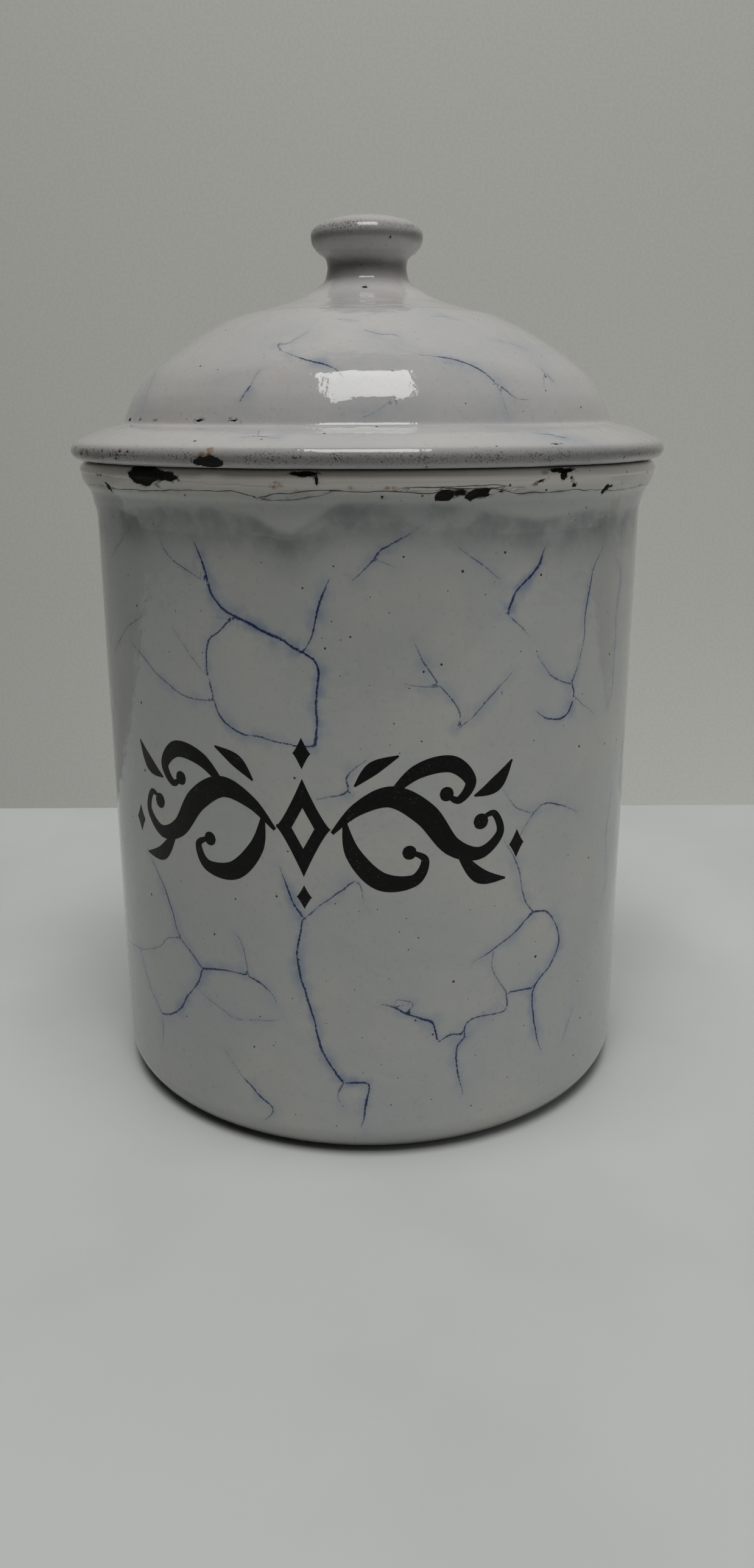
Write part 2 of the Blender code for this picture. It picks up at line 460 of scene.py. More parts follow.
def add_veins(n, colour):
    """Blue veins: a pale blue-grey cloud, a soft halo that drifts in width, and a thin frayed core."""
    line = n.vector("LENGTH", n.attribute("vein_offset", "Vector"))
    far = n.attribute("vein_distance")
    ink = n.attribute("vein_ink")
    cloud = n.math("EXPONENT", n.times(far, far, -0.02))
    patchy = n.map(n.noise(11.0), 0.35, 0.65, 0.05, 0.45)
    colour = n.mix(n.times(cloud, patchy), colour, CLOUD)
    # Between two lines the interpolated offset can vanish, so it only counts near one
    near = n.math("MAXIMUM", line, n.math("SUBTRACT", far, 0.5))
    drift = n.noise(3.5, 3.0)
    halo = n.math("DIVIDE", near, n.map(drift, 0.3, 0.7, 0.5, 1.6))
    halo = n.math("EXPONENT", n.times(halo, halo, -1.0))
    halo = n.times(halo, n.map(ink, 0.0, 0.9, 0.15, 0.95), n.map(drift, 0.3, 0.7, 0.35, 1.0))
    colour = n.mix(halo, colour, HALO)
    frayed = n.math("ADD", near, n.map(n.noise(0.45), 0.25, 0.75, -0.07, 0.07))
    width = n.times(n.map(ink, 0.05, 0.9, 0.125, 0.30), n.map(n.noise(2.4), 0.3, 0.7, 0.7, 1.3))
    core = n.map(frayed, n.times(width, 0.25), width, 1.0, 0.0)
    return n.mix(n.times(core, n.map(ink, 0.0, 0.62, 0.22, 0.97)), colour, VEIN)


def add_shade_and_specks(n, colour, bands):
    """Bands by height, each a grey film of painted shade with a grain of specks in it."""
    height = n.height_of()
    for low, peak, high, grey, speckled in bands:
        band = n.times(n.map(height, low, peak), n.map(height, peak, high, 1.0, 0.0))
        patch = n.map(n.noise(8.0), 0.35, 0.65, 0.35, 1.0)
        # Painted shade: the grey film darkens the band as shade would
        colour = n.mix(n.times(band, grey), colour, SOOT_AND_SHADE)
        grain = n.map(n.noise(0.30), n.map(band, 0.0, 1.0, 0.66, 0.49), 0.67)
        speck = n.mix(n.map(n.noise(4.0), 0.35, 0.75), BROWN, SOOT_AND_SHADE)
        colour = n.mix(n.times(band, patch, grain, speckled), colour, speck)
    return colour


def add_cracks(n, colour):
    """Hairline cracks that vary in width, with brown dirt along them in places."""
    ink = n.attribute("crack_ink")
    crack = n.vector("LENGTH", n.attribute("crack_offset", "Vector"))
    crack = n.math("MAXIMUM", crack, n.math("SUBTRACT", n.attribute("crack_distance"), 0.22))
    dirt = n.times(n.map(crack, 0.05, 0.5, 1.0, 0.0), n.map(n.noise(2.5), 0.45, 0.7), ink)
    colour = n.mix(n.times(dirt, 0.4), colour, BROWN)
    reach = n.map(n.noise(3.0), 0.3, 0.7, 0.07, 0.15)
    line = n.times(n.map(crack, 0.015, reach, 1.0, 0.0), n.map(ink, 0.0, 0.9))
    return n.mix(n.times(line, 0.95), colour, CRACK)


def add_chips(n, colour):
    """Rust stains, and chips to the iron with a brown rim. Gives the colour and how bare it is."""
    rust = n.map(n.attribute("rust"), -0.25, 0.35, 1.0, 0.0)
    colour = n.mix(n.times(rust, n.map(n.noise(0.9, 3.0), 0.38, 0.62, 0.1, 0.9)), colour, RUST)
    chip = n.attribute("chip")
    rim = n.times(n.map(chip, 0.02, 0.34, 1.0, 0.0), n.map(n.noise(0.8, 3.0), 0.46, 0.62), 0.85)
    colour = n.mix(rim, colour, n.mix(n.map(n.noise(2.5), 0.45, 0.65), OXIDE, BROWN))
    bare = n.map(chip, -0.05, 0.05, 1.0, 0.0)
    iron = n.mix(n.map(n.noise(0.5, 3.0), 0.55, 0.75), IRON, OXIDE)
    return n.mix(bare, colour, iron), bare


def worn_enamel(name, first, second, veins=False, thin=False, shade_and_specks=()):
    """Vitreous enamel: mottled white with veins, dirt, specks, painted shade, cracks, and chips to the iron.

    Each band of shade and specks is its lowest, darkest and highest height in millimetres, how much its
    painted shade greys the white and how much of it is specks. Thin is for the canister: painted shade below
    its hem, and painted light on the hem itself.
    """
    n = Nodes(name)
    colour = n.mix(n.map(n.noise(26.0, 3.0), 0.35, 0.65), first, second)
    colour = n.mix(n.times(n.map(n.noise(0.8), 0.55, 0.75), 0.10), colour, BROWN)
    if veins:
        colour = add_veins(n, colour)
    if thin:
        # Painted shade: a mottled bluish grey below the run of enamel, where the hem shades the wall
        under_hem_shading = n.times(n.attribute("thin"), n.map(n.noise(5.0, 3.0), 0.3, 0.7, 0.25, 0.75))
        colour = n.mix(under_hem_shading, colour, UNDER_HEM_SHADE_COLOUR)
        # Painted light: the hem, which the lid shades, is lightened and warmed
        hem = n.map(n.height_of(), MOUTH_HEIGHT - 4.5, MOUTH_HEIGHT - 1.5)
        colour = n.mix(hem, colour, HEM_PAINTED_LIGHT)
    colour = add_shade_and_specks(n, colour, shade_and_specks)
    dots = n.math("MAXIMUM", n.specks(3.4, 0.6, 0.27), n.specks(1.5, 0.25, 0.12))
    colour = n.mix(n.times(dots, 0.9), colour, SPECK)
    colour = add_cracks(n, colour)
    colour, bare = add_chips(n, colour)
    n.set(Base_Color=colour, Specular_IOR_Level=0.44, IOR=1.52)
    gloss = n.map(n.noise(7.0), 0.3, 0.7, 0.035, 0.085)
    n.set(Roughness=n.map(bare, 0.0, 1.0, gloss, 0.75))
    grain = n.times(n.noise(0.5, 1.0), n.map(bare, 0.0, 1.0, 0.05, 1.0))
    n.bump(n.math("ADD", n.noise(3.4, 3.0, 0.5), grain), 0.12)
    return n.material


def plain_enamel(name, colour):
    """The unveined white enamel inside: glossy, with small pores and faint grey scuffs."""
    n = Nodes(name)
    shade = n.mix(n.map(n.noise(18.0, 3.0), 0.35, 0.7), colour, tuple(0.93 * c for c in colour))
    scuff = n.times(n.map(n.noise(1.2, 4.0, 0.6, (1.0, 1.0, 4.0)), 0.60, 0.75), 0.25)
    shade = n.mix(scuff, shade, BROWN)
    shade = n.mix(n.times(n.specks(3.2, 0.25, 0.13), 0.8), shade, (0.04, 0.035, 0.03))
    n.set(Base_Color=shade, IOR=1.52, Roughness=n.map(n.noise(6.0), 0.3, 0.7, 0.10, 0.2))
    n.bump(n.noise(2.2), 0.012)
    return n.material


def wire_steel(name):
    """Dark steel wire, rusty in patches."""
    n = Nodes(name)
    rusty = n.map(n.noise(1.4, 3.0), 0.42, 0.6)
    n.set(Base_Color=n.mix(rusty, (0.20, 0.19, 0.18), RUST), Roughness=n.map(rusty, 0, 1, 0.4, 0.8))
    n.set(Metallic=n.map(rusty, 0, 1, 0.9, 0.1))
    n.bump(n.noise(0.4), 0.02)
    return n.material


def print_black(name):
    """The fired black transfer: not quite dense, so the enamel shows through in pinholes."""
    n = Nodes(name)
    thin = n.times(n.map(n.noise(0.35), 0.60, 0.72), n.map(n.noise(4.0), 0.45, 0.65), 0.35)
    n.set(Base_Color=n.mix(thin, (0.006, 0.0055, 0.0055), (0.18, 0.18, 0.19)))
    n.set(Roughness=n.map(n.noise(0.8), 0.3, 0.7, 0.24, 0.4), IOR=1.5, Specular_IOR_Level=0.3)
    n.bump(n.noise(0.5), 0.006)
    return n.material


# The shapes of the enamelled surfaces


def body_side():
    """The canister's outer side from the ring it stands on up to the top of the hem."""
    corner = arc((WALL_RADIUS - BASE_CORNER, BASE_CORNER), BASE_CORNER, -90, 0, 0.6)
    wall = straight((WALL_RADIUS, BASE_CORNER), (WALL_RADIUS, MOUTH_HEIGHT - 10.0), 0.7)
    # How far out from the wall, and how far from the mouth
    knots = (
        (0, -10.0), (0.1, -8.6), (0.3, -6.9), (0.7, -5.4), (1.1, -4.6), (1.8, -3.8), (2.3, -2.9), (2.5, -1.8)
    )  # fmt: skip
    hem = smooth([(WALL_RADIUS + out, MOUTH_HEIGHT + up) for out, up in knots], 0.25)
    return joined(corner, wall, hem)


def body_outline():
    """The canister's whole section: under the base, up the side, over the hem and down inside."""
    foot = WALL_RADIUS - BASE_CORNER
    inner = WALL_RADIUS - SHEET
    panel = straight((0.0, BASE_RECESS), (BASE_PANEL, BASE_RECESS), 4.0)
    ring = smooth([(BASE_PANEL, BASE_RECESS), (38.2, 0.5), (FOOT_RING, 0.0)], 0.4)
    stand = straight((FOOT_RING, 0.0), (foot, 0.0), 1.2)
    lip = arc((inner + HEM_RADIUS, MOUTH_HEIGHT - HEM_RADIUS), HEM_RADIUS, 0, 180, 0.25)
    inside = straight((inner, MOUTH_HEIGHT - HEM_RADIUS), (inner, BASE_CORNER), 4.0)
    corner = arc((foot, BASE_CORNER), BASE_CORNER - SHEET, 0, -90, 0.8)
    floor = straight((foot, SHEET), (39.4, SHEET), 1.5)
    step = smooth([(39.4, SHEET), (38.5, SHEET + 0.5), (37.7, SHEET + BASE_RECESS)], 0.4)
    middle = straight((37.7, SHEET + BASE_RECESS), (0.0, SHEET + BASE_RECESS), 4.0)
    return joined(panel, ring, stand, body_side(), lip, inside, corner, floor, step, middle)


def lid_top():
    """The lid's upper face from the rivet hole out over the dome and flange and round the rolled edge."""
    seat = straight((RIVET_HOLE, KNOB_SEAT_HEIGHT), (KNOB_SEAT_RADIUS, KNOB_SEAT_HEIGHT), 1.5)
    step = [(KNOB_SEAT_RADIUS, KNOB_SEAT_HEIGHT), (19.7, 24.62), (20.0, 24.88), (20.4, 24.95)]
    crown = [(21.5, 24.74), (23.8, 24.1), (28.0, 22.2), (32.5, 19.6), (36.8, 16.7), (39.9, 14.1)]
    shoulder = [(42.1, 11.3), (43.2, 9.3), (43.95, 7.4), (44.25, 6.6), (44.6, 6.15)]
    flange = [(45.4, 5.9), (46.9, 5.6), (48.4, 5.2), (50.5, 4.4)]
    dome = smooth(step + crown + shoulder + flange, 0.35)
    roll = arc((LID_RADIUS - LID_ROLL, LID_ROLL + 0.1), LID_ROLL, 63, -215, 0.25)
    return raised(joined(seat, dome, straight(dome[-1], roll[0], 0.4), roll), MOUTH_HEIGHT)


def lid_outline():
    """The upper face from the roll inwards, then the sheet's underside back out to the roll."""
    top = lid_top()
    sheet_end = next(i for i, (radius, _) in enumerate(top) if radius > LID_RADIUS - 3.2)
    under = offset(top[: sheet_end + 1], SHEET)[::2]
    return top[::-1] + under


def knob_outline():
    """Both halves of the knob, from the middle of its underside round to its crown."""
    top = KNOB_TOP - MOUTH_HEIGHT
    underside = joined(straight((0.0, 24.62), (20.0, 24.62), 1.0), arc((20.45, 24.7), 0.08, -90, 60, 0.05))
    foot = [(19.6, 25.11), (18.4, 25.46), (17.1, 25.85), (14.6, 26.55), (12.1, 27.5), (10.2, 28.5)]
    waist = [(8.7, 29.55), (7.75, 30.25), (7.35, 31.1), (7.12, 32.4), (7.12, 33.0), (7.5, 34.2)]
    cap = [(8.7, 35.1), (9.6, 36.1), (9.95, 37.2), (9.9, 38.3), (9.3, 39.2), (7.8, 40.1)]
    crown = [(5.0, top - 0.35), (2.0, top - 0.05), (0.0, top)]
    side = smooth([underside[-1]] + foot + waist + cap + crown, 0.22)
    return raised(joined(underside, side[:-1]) + [(0.0, top)], MOUTH_HEIGHT)


BODY_SIDE = np.array(body_side())
LID_TOP = np.array([point for point in lid_top() if point[1] > MOUTH_HEIGHT + LID_ROLL])


def on_body(degrees, height):
    """The point on the canister's side at a height."""
    return around(degrees, float(np.interp(height, BODY_SIDE[:, 1], BODY_SIDE[:, 0])), height)


# Where the thick run of enamel under the hem ends: degrees round and millimetres up
RUN_EDGE = (
    (-180, 111), (-150, 109), (-120, 111.5), (-90, 110), (-58, 110.4), (-35, 111.7), (-22, 111.2),
    (-17.7, 109.2), (-13.2, 108.2), (-8.9, 110.6), (-4.6, 112.7), (5, 112.9), (15, 112.3), (24, 110.8),
    (33, 109.6), (45, 110.6), (60, 109.6), (90, 111.5), (120, 110), (150, 112), (180, 111),
)  # fmt: skip


def above_run_edge(points):
    degrees = np.degrees(np.arctan2(points[:, 0], -points[:, 1]))
    edge = np.interp(degrees, *zip(*smooth(RUN_EDGE, 2)))
    return points[:, 2] - edge


def under_hem_shade_amount(points):
    """How strongly the painted shade falls below the run of enamel under the hem, from 0 to 1."""
    above = above_run_edge(points)
    return ramp(above, -9, -1.2) * (1 - ramp(above, -0.8, 0.7)) * (points[:, 2] > 60)


def swell(points):
    """How far the uneven enamel stands out at points on the canister's side, in millimetres."""
    above = above_run_edge(points)
    run = 0.24 * ramp(above, -1.6, 0.6) * (1 - ramp(points[:, 2], MOUTH_HEIGHT - 4.5, MOUTH_HEIGHT - 3))
    return 0.045 * ripple(points, 17, 1) + 0.018 * ripple(points, 6, 2) + run


# Veins on the canister: ink, then degrees round and millimetres up
BODY_VEINS = (
    (1, (-33, 106), (-31, 103), (-29, 98), (-25, 95), (-20, 93), (-14, 91), (-9, 87), (-10, 75)),
    (0.55, (-25, 95), (-28, 93), (-31, 90), (-30, 81), (-28, 78), (-24, 76)),
    (0.7, (-7, 101), (-9, 97), (-10, 93), (-12, 90)),
    (0.35, (-42, 106), (-39, 103), (-34, 101), (-30, 100)),
    (0.4, (-54, 88), (-45, 84), (-40, 82), (-35, 81), (-30, 81)),
    (0.25, (-40, 92), (-35, 88), (-30, 84)),
    (0.2, (-51, 108), (-56, 105), (-63, 101)),
    (0.25, (-49, 93), (-60, 88), (-64, 84)),
    (0.5, (-24, 76), (-20, 76), (-14, 75), (-10, 75)),
    (0.5, (-3, 101), (1, 104), (3, 106), (9, 109)),
    (0.25, (1, 104), (5, 103)),
    (0.4, (16, 106), (19, 104), (24, 101)),
    (0.95, (34, 105), (32, 102), (28, 99), (27, 97), (26, 95)),
    (0.4, (24, 95), (26, 95), (31, 91)),
    (0.45, (8, 92), (10, 88), (13, 84), (17, 80), (16, 77)),
    (0.45, (16, 77), (19, 79), (21, 81), (25, 84), (28, 86)),
    (0.3, (6, 85), (10, 84), (13, 84)),
    (0.45, (51, 104), (49, 102), (47, 99), (46, 94), (46, 89), (42, 82)),
    (0.6, (42, 82), (43, 80), (41, 77), (37, 77), (33, 79)),
    (0.4, (33, 88), (37, 84), (42, 82)),
    (0.25, (43, 80), (51, 76)),
    (0.3, (57, 102), (60, 99), (59, 92), (59, 79), (56, 76)),
    (0.25, (-27, 68), (-23, 63)),
    (0.45, (-53, 51), (-47, 46), (-44, 40), (-42, 36), (-36, 32)),
    (0.6, (-36, 32), (-38, 29), (-41, 26), (-45, 21), (-51, 19)),
    (0.3, (-75, 26), (-60, 29), (-51, 32), (-47, 35), (-42, 36)),
    (0.3, (-60, 29), (-55, 23), (-51, 19), (-51, 12)),
    (0.6, (-36, 32), (-30, 33), (-24, 33), (-20, 31), (-19, 29)),
    (0.3, (-28, 41), (-26, 39), (-24, 33)),
    (0.7, (-17, 54), (-15, 48), (-13, 45), (-14, 38), (-12, 30), (-10, 22), (-7, 17), (-5, 15)),
    (0.75, (-5, 15), (0, 15), (-1, 9), (-2, 6)),
    (0.35, (-5, 15), (-6, 12), (-5, 10)),
    (0.4, (-13, 45), (-9, 48), (-3, 52), (-1, 48)),
    (0.5, (-10, 66), (-4, 67), (-4, 70), (0, 73)),
    (0.35, (-1, 66), (4, 67), (8, 70)),
    (0.2, (-38, 28), (-31, 25), (-28, 24), (-18, 26)),
    (0.2, (-31, 17), (-28, 14), (-26.5, 12.8)),
    (0.45, (-26.5, 12.8), (-24, 11), (-20, 8), (-22, 5)),
    (0.4, (27, 57), (30, 52), (31, 47), (34, 43)),
    (0.6, (34, 43), (38, 42), (41, 39), (42, 35), (40, 32), (35, 28), (35, 23), (37, 17), (38, 15)),
    (0.55, (34, 43), (30, 40), (25, 38), (20, 36)),
    (0.3, (25, 38), (25, 34), (29, 29)),
    (0.5, (35, 28), (29, 29), (28, 26), (20, 25), (19, 22)),
    (0.8, (2, 30), (5, 29), (7, 28), (12, 26), (13, 22)),
    (0.5, (7, 28), (8, 30), (5, 31)),
    (0.5, (13, 22), (16, 23), (19, 22), (17, 20), (18, 15), (19, 11)),
    (0.45, (30, 57), (33, 61), (37, 62), (46, 59)),
    (0.35, (26, 66), (29, 62), (33, 61)),
    (0.4, (48, 20), (46, 17), (45, 15)),
    (0.25, (62, 60), (60, 52), (62, 44), (60, 38)),
)

# Veins on the lid: ink, then degrees round and millimetres from the axis
LID_VEINS = (
    (0.9, (-27.5, 43), (-27, 42.5), (-26.3, 41.7)),
    (0.15, (-26.3, 41.7), (-26, 41), (-25.2, 39.5)),
    (0.5, (-23, 36), (-22, 36.2), (-15, 37.8), (-8, 39.3), (-5, 40.8)),
    (0.4, (-22, 36.2), (-24, 34.5), (-21, 34.4), (-18, 31.4)),
    (0.5, (12, 37), (16, 37.2), (21, 37.9), (24, 38.6), (27, 39.9), (30, 41.8), (33, 42.9), (36, 43)),
    (0.2, (27, 39.9), (29, 41.6), (30, 43.9)),
    (0.35, (-10, 27.6), (-7, 27.9), (-3, 28.5)),
    (0.4, (-1, 31.3), (4, 32.4), (7, 32.4), (9, 33)),
    (0.35, (24, 26.8), (29, 26.5), (33, 28)),
    (0.35, (39, 33.2), (45, 34), (48, 34.9)),
    (0.5, (46, 39.1), (46, 39.8), (47, 41.1)),
    (0.3, (46, 39.8), (43, 41.3)),
    (0.5, (4.2, 43.2), (5, 42.6), (5.8, 43.3)),
    (0.2, (-1, 44), (2, 43.6), (4, 43)),
    (0.5, (31, 49.1), (34, 49.6), (36, 50.7), (40, 51.2)),
    (0.5, (-22, 50.4), (-19, 49.7), (-15, 50.5)),
    (0.4, (-19, 49.7), (-20, 47.4)),
    (0.15, (-75, 36), (-66, 40), (-60, 43)),
)

# Hairline cracks: the edge of the hem under its enamel, and crazing on the lid
HEM_CRACKS = (
    (1, (-60, 114), (-45, 113.9), (-26, 114.4), (-22, 114.1), (-18, 113.7), (-15, 114.2), (-6, 114.4),
     (0, 114.4), (5, 114.1), (10, 114), (13, 114.4), (21, 114.4), (26, 113.9), (34, 113.8), (43, 113.6),
     (55, 113.4), (64, 113.6)),
    (0.3, (-62, 115.5), (-45, 115.7), (-30, 115.5), (-18, 115.2), (-12, 115)),
    (0.8, (-22, 114.1), (-17, 113.3), (-13, 113.4), (-8, 113.6), (-5, 114.4)),
    (0.9, (4, 114.2), (7, 114.8), (15, 114.9), (21, 114.9), (27, 114.7)),
    (0.7, (64, 113.6), (90, 113.9), (120, 113.4), (150, 113.8), (180, 113.3), (205, 113.7)),
    (0.8, (205, 113.7), (230, 113.5), (260, 114), (285, 113.5), (300, 114)),
    (0.6, (128, 113.6), (140, 114.4), (155, 114.3), (163, 113.7)),
    (0.6, (236, 113.6), (245, 112.9), (256, 113), (263, 113.9)),
)  # fmt: skip
LID_CRACKS = (
    (0.35, (7, 44.8), (11, 45.5), (15, 45.1), (24, 45), (27, 46.1)),
    (0.22, (-37, 48.2), (-29, 49.1), (-24, 47.7), (-24, 45.4), (-27, 44.8)),
    (0.2, (10, 48.5), (20, 48), (33, 49)),
    (0.25, (150, 46), (165, 48), (180, 47)),
)

# Chips: degrees, radius, height, half width, half height, tilt, raggedness. Rust stains are alike.
# Heights on the lid and knob are from the mouth.
BODY_CHIPS = (
    (-42, 52.4, 116.2, 3.8, 1.7, 0, 0.22),
    (-43, 51.8, 117.1, 3, 1, 0, 0.30),
    (-36.5, 52.5, 116.2, 2.6, 0.7, -10, 0.35),
    (-55, 51.8, 114, 1.1, 0.55, -48, 0.10),
    (-10.5, 52.2, 116.9, 2, 0.5, 0, 0.35),
    (-8.3, 52.5, 116.1, 0.3, 0.9, 0, 0.4),
    (12.7, 51.9, 113.7, 1.5, 0.95, 0, 0.25),
    (15.4, 52, 114.1, 0.6, 0.55, 0, 0.12),
    (17.6, 51.9, 113.7, 1.2, 0.95, 20, 0.25),
    (19.4, 52, 114.1, 1.1, 0.60, 15, 0.25),
    (22.6, 52, 114.2, 0.35, 0.18, 0, 0.3),
    (25.2, 52, 114.3, 0.35, 0.2, 0, 0.2),
    (35, 52.2, 117.1, 2.5, 0.45, 0, 0.35),
    (34.9, 52.5, 116, 0.62, 0.70, 0, 0.12),
    (37, 52.5, 115.9, 0.33, 0.48, 0, 0.12),
    (37.8, 52.4, 114.7, 0.42, 0.50, 20, 0.15),
    (30, 52.5, 115.5, 1, 0.22, 25, 0.5),
    (47.2, 51.8, 113.7, 0.62, 1.05, -30, 0.08),
    (118, 52.4, 116.3, 2.8, 1.2, 5, 0.3),
    (203, 52, 114.1, 1.6, 0.8, 0, 0.3),
    (210, 52.1, 114.4, 0.6, 0.5, 0, 0.2),
    (262, 52.2, 116.7, 2.4, 0.9, 0, 0.35),
    (155, 49, 2.4, 1.3, 0.6, 0, 0.3),
    (-70, 49.2, 2.8, 0.5, 0.3, 0, 0.3),
)
BODY_RUST = (
    (-42.5, 52, 114.6, 0.7, 0.35, 0, 0.4),
    (-15, 52.3, 115.2, 0.8, 0.5, 0, 0.5),
    (-2.5, 52.2, 114.9, 0.45, 0.2, 0, 0.5),
    (3.5, 52.2, 114.9, 0.7, 0.2, 0, 0.5),
    (31, 52.5, 116.9, 0.5, 0.3, 0, 0.5),
    (206, 52.2, 115, 1.2, 0.5, 0, 0.5),
)
LID_RUST = (
    (-26.8, 53.6, 2.1, 1.3, 0.45, 10, 0.5),
    (-26, 53.2, 2.9, 0.4, 0.4, 0, 0.4),
    (17, 53, 3, 0.4, 0.2, 0, 0.5),
    (142, 53.6, 2.5, 1.4, 0.5, 0, 0.5),
)
LID_CHIPS = (
    (-26.2, 53.8, 0.6, 2.5, 1, 0, 0.42),
    (-27.6, 53.7, 0.7, 1.6, 0.6, 0, 0.3),
    (-84, 53.8, 1.5, 0.3, 0.9, 20, 0.3),
    (-11, 53.8, 1.9, 0.5, 0.10, 0, 0.4),
    (-68, 44.5, 7.1, 0.8, 0.28, 0, 0.3),
    (-60, 44.5, 7.1, 0.3, 0.30, 0, 0.3),
    (-52, 44.5, 7.1, 0.28, 0.16, 0, 0.3),
    (-37, 44.5, 7.1, 0.75, 0.28, 10, 0.25),
    (-28, 44.6, 7, 0.8, 0.18, -10, 0.3),
    (33, 52.4, 3.4, 0.6, 0.10, 0, 0.6),
    (142, 53.8, 1.6, 1.8, 0.7, 0, 0.3),
    (228, 53.6, 1.2, 1.2, 0.6, 0, 0.3),
    (96, 44.5, 7.1, 0.6, 0.22, 0, 0.3),
)
KNOB_CHIPS = (
    (-2, 10.1, 28.6, 0.45, 0.28, 0, 0.3),
    (-78, 9.95, 37.3, 0.16, 1.7, 8, 0.4),
    (24, 9.9, 36.7, 0.16, 0.14, 0, 0.2),
    (170, 9.4, 39.1, 0.9, 0.35, 0, 0.3),
)


def from_mouth(chips):
    """The chips with their heights measured from the ground instead of from the mouth."""
    return [(degrees, radius, MOUTH_HEIGHT + up, *rest) for degrees, radius, up, *rest in chips]


def small_chips(seed, count, degrees, heights, radius, sizes):
    """Scattered pinhead chips in a band, the same ones each time."""
    rng = np.random.default_rng(seed)
    chips = []
    for _ in range(count):
        size = rng.uniform(*sizes)
        place = (rng.uniform(*degrees), radius, rng.uniform(*heights))
        chips.append((*place, size * rng.uniform(1.0, 1.8), size, rng.uniform(-30, 30), 0.35))
    return chips


def grown(seed, starts, degrees, rows, millimetres_per_degree):
    """Branching vein routes, spread evenly over the side that the listed ones don't reach."""
    rng = np.random.default_rng(seed)
    lines = []
    for i in range(starts):
        share = ((0.5 + 0.7549 * i) % 1.0, (0.5 + 0.5698 * i) % 1.0)
        place = np.array([np.interp(share[0], (0, 1), degrees), np.interp(share[1], (0, 1), rows)])
        heading = rng.uniform(0, 2 * math.pi)
        waiting = [(place, heading, rng.integers(4, 9), rng.uniform(0.3, 0.95))]
        while waiting:
            place, heading, steps, strength = waiting.pop()
            knots = [tuple(place)]
            for _ in range(steps):
                heading += rng.normal(0, 0.38)
                reach = rng.uniform(4.0, 7.5)
                move = np.array([math.cos(heading) / millimetres_per_degree, math.sin(heading)])
                place = place + reach * move
                if not (rows[0] < place[1] < rows[1] and degrees[0] < place[0] < degrees[1]):
                    break
                knots.append(tuple(place))
                if strength > 0.28 and rng.random() < 0.26:
                    turn = rng.choice((-1, 1)) * rng.uniform(0.7, 1.2)
                    waiting.append((place, heading + turn, rng.integers(2, 5), 0.65 * strength))
            if len(knots) > 2:
                lines.append((strength, *knots))
    return lines


# The ornament printed on the front: each shape is rows of points across it, in millimetres

ACROSS = (-1, -0.5, 0, 0.5, 1)
PRINT_DEGREES, PRINT_HEIGHT = -12.5, 61.0
PRINT_LIFT = 0.025


def stroke(knots, widths):
    """A brush stroke along a smooth line."""
    line = np.array(smooth([(*knot, width) for knot, width in zip(knots, widths)], 0.35))
    along = directions(line[:, :2])
    across = np.stack([-along[:, 1], along[:, 0]], axis=1)
    half = line[:, 2:] / 2 * across
    return [[point + k * side for k in ACROSS] for point, side in zip(line[:, :2], half)]


def disc(centre, radius):
    """A round dot."""
    rows = []
    for x in np.linspace(-1, 1, 13):
        half = math.sqrt(max(0.0, 1 - x * x))
        rows.append([np.array(centre) + radius * np.array([x, half * k]) for k in ACROSS])
    return rows


def lozenge(centre, half_width, half_height, hollow=0.0):
    """A diamond with sides curved inward, or two halves of one round a diamond-shaped gap."""
    shapes = []
    for side in (-1, 1) if hollow else (0,):
        rows = []
        for x in np.linspace(-1, 1, 25):
            high = (1 - abs(x)) ** 1.25 * half_height
            if side:
                low = max(0.0, 1 - abs(x) / hollow) * half_height * hollow
                heights = [side * (low + max(high - low, 0.0) * k) for k in (0, 0.33, 0.66, 1)]
            else:
                heights = [high * k for k in ACROSS]
            rows.append([np.array(centre) + np.array([x * half_width, height]) for height in heights])
        shapes.append(rows)
    return shapes


def ornament_shapes():
    """A symmetrical scroll: a pierced lozenge between two tendrils that end in balls and leaves."""
    tendril = [(4.8, -0.6), (9, 3.6), (14.5, 5.6), (20, 2.4), (24.5, -3.4), (29.5, -5.2)]
    tendril += [(33.2, -2.2), (32, 1.4), (29.4, 0.6)]
    upper = [(13.5, 5.2), (18.5, 9.6), (24.2, 10.6), (27.6, 7.4), (25.6, 4.4), (23.2, 5.8)]
    lower = [(6.8, 1.8), (8.2, -4.0), (12.6, -8.8), (18.2, -8.9), (20.0, -5.4), (17.2, -3.8)]
    wing = [
        stroke(tendril, [0.6, 2.2, 3.6, 4.0, 3.2, 2.2, 1.5, 1.1, 0.6]),
        stroke(upper, [0.6, 2.4, 2.8, 2.0, 1.3, 0.6]),
        stroke(lower, [0.5, 2.6, 3.2, 2.1, 1.3, 0.6]),
        stroke([(25.5, -4.4), (29.5, -9.2), (34.5, -10.4)], [0.8, 2.6, 0.3]),
        stroke([(28.3, 4.8), (32.2, 6.4), (35.2, 10.2)], [0.3, 2.6, 0.3]),
        stroke([(8.5, 7.4), (11.5, 10.4), (15.6, 12.4)], [0.3, 2.2, 0.3]),
        disc((29.6, 0.3), 1.35),
        disc((23.5, 5.6), 1.2),
        disc((17.4, -4.0), 1.2),
        *lozenge((36.6, -4.6), 1.5, 2.5),
    ]
    shapes = []
    for side in (-1, 1):
        for rows in wing:
            shapes.append([[point * np.array([side, 1.0]) for point in row] for row in rows])
    shapes += lozenge((0.0, 0.0), 4.6, 8.4, 0.42)
    shapes += lozenge((0.0, 12.6), 1.5, 2.6)
    shapes += lozenge((0.0, -12.0), 1.3, 2.1)
    return shapes


